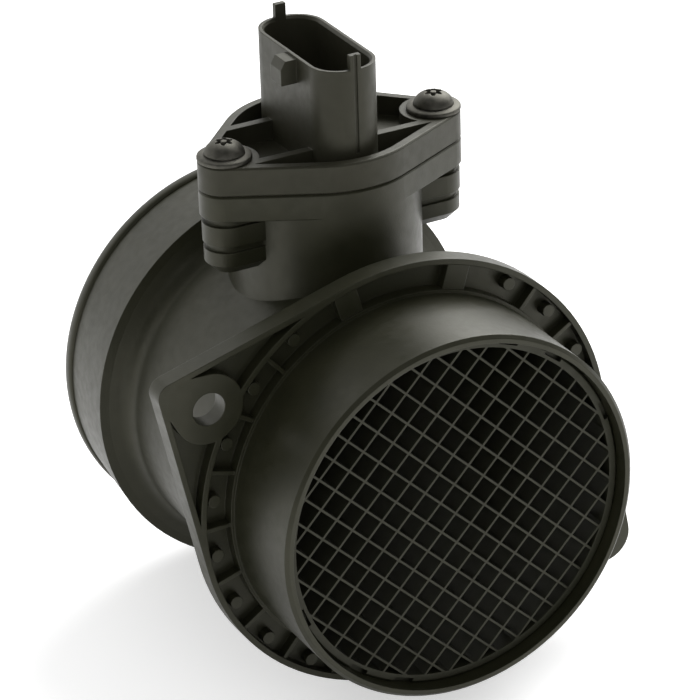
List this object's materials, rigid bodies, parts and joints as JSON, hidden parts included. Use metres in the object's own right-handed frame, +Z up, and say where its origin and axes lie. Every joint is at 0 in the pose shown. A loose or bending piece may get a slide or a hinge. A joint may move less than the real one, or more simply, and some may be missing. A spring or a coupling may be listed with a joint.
{
  "type": "mass airflow sensor",
  "caption": "Black plastic mass airflow sensor: a round duct with a lattice in its mouth, an eared flange, a hose barb and a screwed-in plug-in sensor with an upright connector socket.",
  "frame": {"origin": "centre of the inlet mouth, in the plane of the duct's front edge", "axes": "+Y along the air flow down the duct, +Z up through the tower and the connector socket, +X to the right seen from the inlet"},
  "size_m": [0.122, 0.1127, 0.1505],
  "materials": {
    "black_plastic": "satin black glass-filled moulded plastic",
    "screw_steel": "dark zinc plating",
    "wire_steel": "drawn stainless wire",
    "frame_plastic": "plain black moulded plastic",
    "seal_rubber": "lubricated fluorosilicone rubber",
    "terminal_metal": "tinned brass blade",
    "carrier_aluminium": "rolled sheet",
    "board_ceramic": "thick-film ceramic",
    "chip_black": "moulded epoxy",
    "capacitor_ceramic": "sintered ceramic",
    "holder_plastic": "moulded plastic",
    "sensor_silicon": "polished silicon",
    "bead_glass": "glass-coated thermistor bead on steel leads"
  },
  "bodies": {
    "root": {"duct_housing": "black_plastic", "flow_grid": "frame_plastic", "screen_frame": "frame_plastic", "wire_screen": "wire_steel", "sensor_body": "black_plastic", "plug_seal": "seal_rubber", "carrier_plate": "carrier_aluminium", "circuit_board": "board_ceramic", "control_chip": "chip_black", "chip_capacitors": "capacitor_ceramic", "sensor_holder": "holder_plastic", "sensor_chip": "sensor_silicon", "electronics_cover": "black_plastic", "channel_cover": "black_plastic", "temperature_sensor": "bead_glass", "flange_screws": "screw_steel", "terminal_1": "terminal_metal", "terminal_2": "terminal_metal", "terminal_3": "terminal_metal", "terminal_4": "terminal_metal", "terminal_5": "terminal_metal"}
  },
  "joints": []
}
